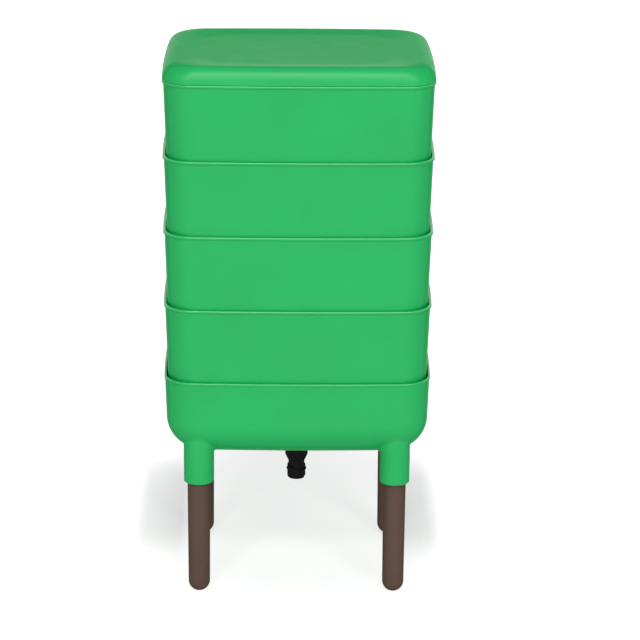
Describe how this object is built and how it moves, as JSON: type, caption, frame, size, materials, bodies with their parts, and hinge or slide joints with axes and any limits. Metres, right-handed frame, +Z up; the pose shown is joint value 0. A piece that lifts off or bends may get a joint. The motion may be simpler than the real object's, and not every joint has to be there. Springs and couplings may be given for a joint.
{
  "type": "wormery",
  "caption": "Stacking worm composter: nesting trays with perforated floors and a lid on a collecting bowl with a drain tap, standing on push-in legs.",
  "frame": {"origin": "on the ground at the middle of the four feet", "axes": "+Z up, +X to the right seen from the front, the front faces -Y"},
  "size_m": [0.382, 0.292, 0.779],
  "materials": {
    "green_plastic": "fine satin texture",
    "brown_plastic": "matt",
    "black_plastic": "satin",
    "rubber": "matt",
    "steel": "plain"
  },
  "bodies": {
    "base": {"collecting_bowl": "green_plastic", "bowl_sump": "green_plastic", "socket_front_left": "green_plastic", "socket_front_right": "green_plastic", "socket_back_left": "green_plastic", "socket_back_right": "green_plastic", "leg_front_left": "brown_plastic", "leg_front_right": "brown_plastic", "leg_back_left": "brown_plastic", "leg_back_right": "brown_plastic", "sieve_plate": "green_plastic", "tap_body": "black_plastic", "tap_gasket": "rubber", "tap_washer": "black_plastic", "tap_nut": "black_plastic", "tap_clip": "black_plastic"},
    "tray_4": {"tray_4": "green_plastic"},
    "tray_3": {"tray_3": "green_plastic"},
    "tray_2": {"tray_2": "green_plastic"},
    "tray_1": {"tray_1": "green_plastic"},
    "lid": {"lid": "green_plastic"},
    "tap_sleeve": {"tap_sleeve": "black_plastic"},
    "plunger": {"plunger": "black_plastic", "plunger_seal": "rubber", "plunger_pin": "steel"}
  },
  "joints": [
    {"name": "tray_4_lift", "type": "slide", "parent": "base", "child": "tray_4", "axis": [0, 0, 1], "range_m": [0, 0.15]},
    {"name": "tray_3_lift", "type": "slide", "parent": "tray_4", "child": "tray_3", "axis": [0, 0, 1], "range_m": [0, 0.15]},
    {"name": "tray_2_lift", "type": "slide", "parent": "tray_3", "child": "tray_2", "axis": [0, 0, 1], "range_m": [0, 0.15]},
    {"name": "tray_1_lift", "type": "slide", "parent": "tray_2", "child": "tray_1", "axis": [0, 0, 1], "range_m": [0, 0.15]},
    {"name": "lid_lift", "type": "slide", "parent": "tray_1", "child": "lid", "axis": [0, 0, 1], "range_m": [0, 0.15]},
    {"name": "tap_turn", "type": "hinge", "parent": "base", "child": "tap_sleeve", "pos_m": [0, 0, 0.145], "axis": [0, 0, 1], "range_deg": [0, 90]},
    {"name": "plunger_lift", "type": "slide", "parent": "base", "child": "plunger", "axis": [0, 0, 1], "range_m": [0, 0.0045]}
  ],
  "couplings": [
    {"joint": "plunger_lift", "follows": "tap_turn", "m_per_rad": 0.002865}
  ]
}
